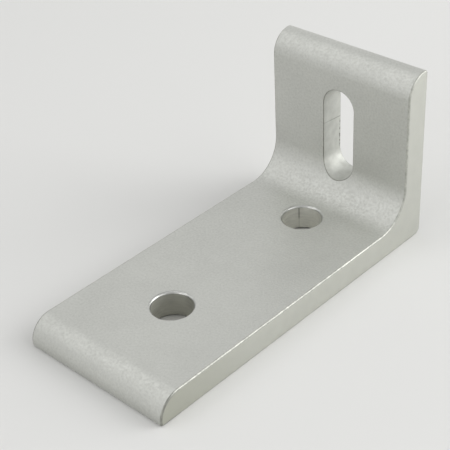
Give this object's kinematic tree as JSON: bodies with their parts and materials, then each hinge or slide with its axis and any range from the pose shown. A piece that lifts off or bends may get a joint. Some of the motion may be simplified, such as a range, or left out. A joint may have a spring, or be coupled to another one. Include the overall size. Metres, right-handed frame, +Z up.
{
  "type": "t-slot corner bracket",
  "caption": "One-piece L-shaped aluminium bracket with bolt holes in its long leg and an upright slot in its short leg, joining T-slot profiles at a right angle.",
  "frame": {"origin": "centre of the base leg's footprint, on its underside", "axes": "+X across the width; +Y from the toe of the long leg to the outer face of the upright leg; +Z up, along the upright leg"},
  "size_m": [0.036, 0.08, 0.0395],
  "materials": {
    "anodised_aluminium": "clear anodised, matte"
  },
  "bodies": {
    "root": {"corner_bracket": "anodised_aluminium"}
  },
  "joints": []
}
